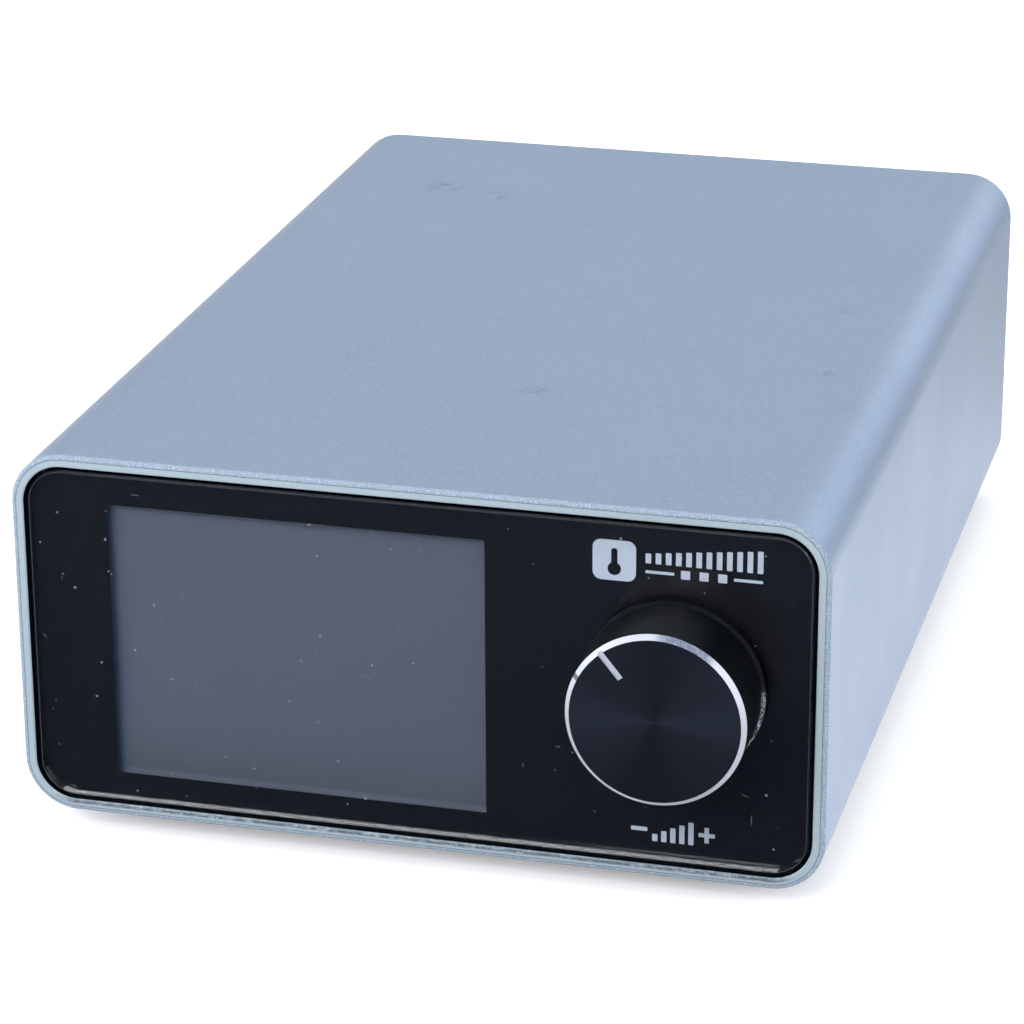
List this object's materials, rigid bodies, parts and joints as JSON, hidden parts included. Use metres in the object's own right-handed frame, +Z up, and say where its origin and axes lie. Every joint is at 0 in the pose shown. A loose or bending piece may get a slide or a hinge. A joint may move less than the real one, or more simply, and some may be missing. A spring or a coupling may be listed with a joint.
{
  "type": "soldering station control unit",
  "caption": "Bench soldering-station control unit: extruded aluminium case, glass front with display, push-and-turn knob, mains inlet with switch, tool socket and earth jack behind",
  "frame": {"origin": "centre of the whole unit's box on the surface that the feet stand on, so X = 0 is the case's centre plane", "axes": "+X to the right as seen by the user, +Y from the front panel to the rear panel, +Z up"},
  "size_m": [0.105, 0.173, 0.052],
  "materials": {
    "anodised_case": "bead-blasted, clear anodised, satin",
    "panel_glass": "polished, ground edge",
    "black_print": "black ink behind glass",
    "black_tape": "foam tape",
    "black_moulding": "moulded, fine spark texture",
    "steel_screw": "zinc plated",
    "display_glass": "grey, unlit display",
    "display_tray": "white moulded tray",
    "flex_film": "amber film",
    "black_board": "solder mask",
    "green_board": "solder mask",
    "chip_black": "moulded epoxy",
    "white_nylon": "moulded",
    "zinc_plate": "bright zinc",
    "brass_shaft": "turned",
    "knob_black": "black anodised, turned face, bright bevel",
    "rear_black": "black anodised, fine satin",
    "inlet_black": "moulded",
    "rocker_black": "moulded, semi-gloss",
    "plated_brass": "nickel plated",
    "fuse_glass": "plated caps on a glass tube",
    "nickel_shell": "matte nickel",
    "insert_black": "moulded",
    "gold_pin": "gold plated",
    "jack_green": "moulded",
    "ferrite": "ground ferrite",
    "winding_tape": "polyester tape",
    "bobbin_black": "moulded",
    "capacitor_sleeve": "shrink sleeve",
    "filter_epoxy": "moulded",
    "sink_aluminium": "extruded, mill finish",
    "terminal_green": "moulded",
    "fish_paper": "pressed fibre sheet",
    "lead_brown": "silicone sleeve",
    "lead_red": "silicone sleeve",
    "lead_green": "silicone sleeve",
    "cable_grey": "soft jacket",
    "foot_rubber": "moulded, matte",
    "white_print": "light grey ink behind glass"
  },
  "bodies": {
    "case": {"bezel_frame": "black_moulding", "board_connectors": "white_nylon", "bulk_capacitors": "capacitor_sleeve", "buzzer": "chip_black", "case_tube": "anodised_case", "control_board": "black_board", "control_chips": "chip_black", "earth_leads": "lead_green", "earth_lug": "plated_brass", "earth_nut": "zinc_plate", "earth_screw": "steel_screw", "encoder_board": "black_board", "encoder_body": "zinc_plate", "encoder_bushing": "zinc_plate", "encoder_lead": "cable_grey", "encoder_nut": "zinc_plate", "encoder_washer": "zinc_plate", "foot_front_left": "foot_rubber", "foot_front_right": "foot_rubber", "foot_rear_left": "foot_rubber", "foot_rear_right": "foot_rubber", "front_glass": "panel_glass", "front_screws": "steel_screw", "glass_tape": "black_tape", "inlet_housing": "inlet_black", "inlet_pins": "plated_brass", "insulation_sheet": "fish_paper", "jack_contact": "plated_brass", "jack_insulator": "jack_green", "jack_nut": "nickel_shell", "lcd_backlight": "display_tray", "lcd_panel": "display_glass", "lcd_ribbon": "flex_film", "lead_plugs": "white_nylon", "mains_filter": "filter_epoxy", "mains_leads": "lead_brown", "mask_film": "black_print", "output_leads": "lead_red", "power_board": "green_board", "power_heatsinks": "sink_aluminium", "power_terminals": "terminal_green", "power_transistors": "chip_black", "rear_panel": "rear_black", "rear_screws": "steel_screw", "socket_insert": "insert_black", "socket_nut": "nickel_shell", "socket_pins": "gold_pin", "socket_shell": "nickel_shell", "switch_tabs": "plated_brass", "tool_cable": "cable_grey", "transformer_bobbin": "bobbin_black", "transformer_core": "ferrite", "transformer_winding": "winding_tape"},
    "push_plunger": {"encoder_plunger": "white_nylon"},
    "knob_set": {"knob": "knob_black", "knob_grub_screw": "steel_screw", "encoder_shaft": "brass_shaft"},
    "rocker": {"power_rocker": "rocker_black"},
    "fuse_tray": {"fuse_drawer": "inlet_black", "fuse": "fuse_glass"}
  },
  "joints": [
    {"name": "knob_push", "type": "slide", "parent": "case", "child": "push_plunger", "axis": [0, 1, 0], "range_m": [0, 0.0005], "stiffness_N_per_m": 1500, "springref_m": -0.0005},
    {"name": "knob_turn", "type": "hinge", "parent": "push_plunger", "child": "knob_set", "pos_m": [0.0334, -0.07525, 0.02925], "axis": [0, 1, 0], "continuous": true},
    {"name": "power_switch", "type": "hinge", "parent": "case", "child": "rocker", "pos_m": [-0.0064, 0.07645, 0.0275], "axis": [-1, 0, 0], "range_deg": [0, 20]},
    {"name": "fuse_drawer_slide", "type": "slide", "parent": "case", "child": "fuse_tray", "axis": [0, 1, 0], "range_m": [0, 0.016]}
  ]
}
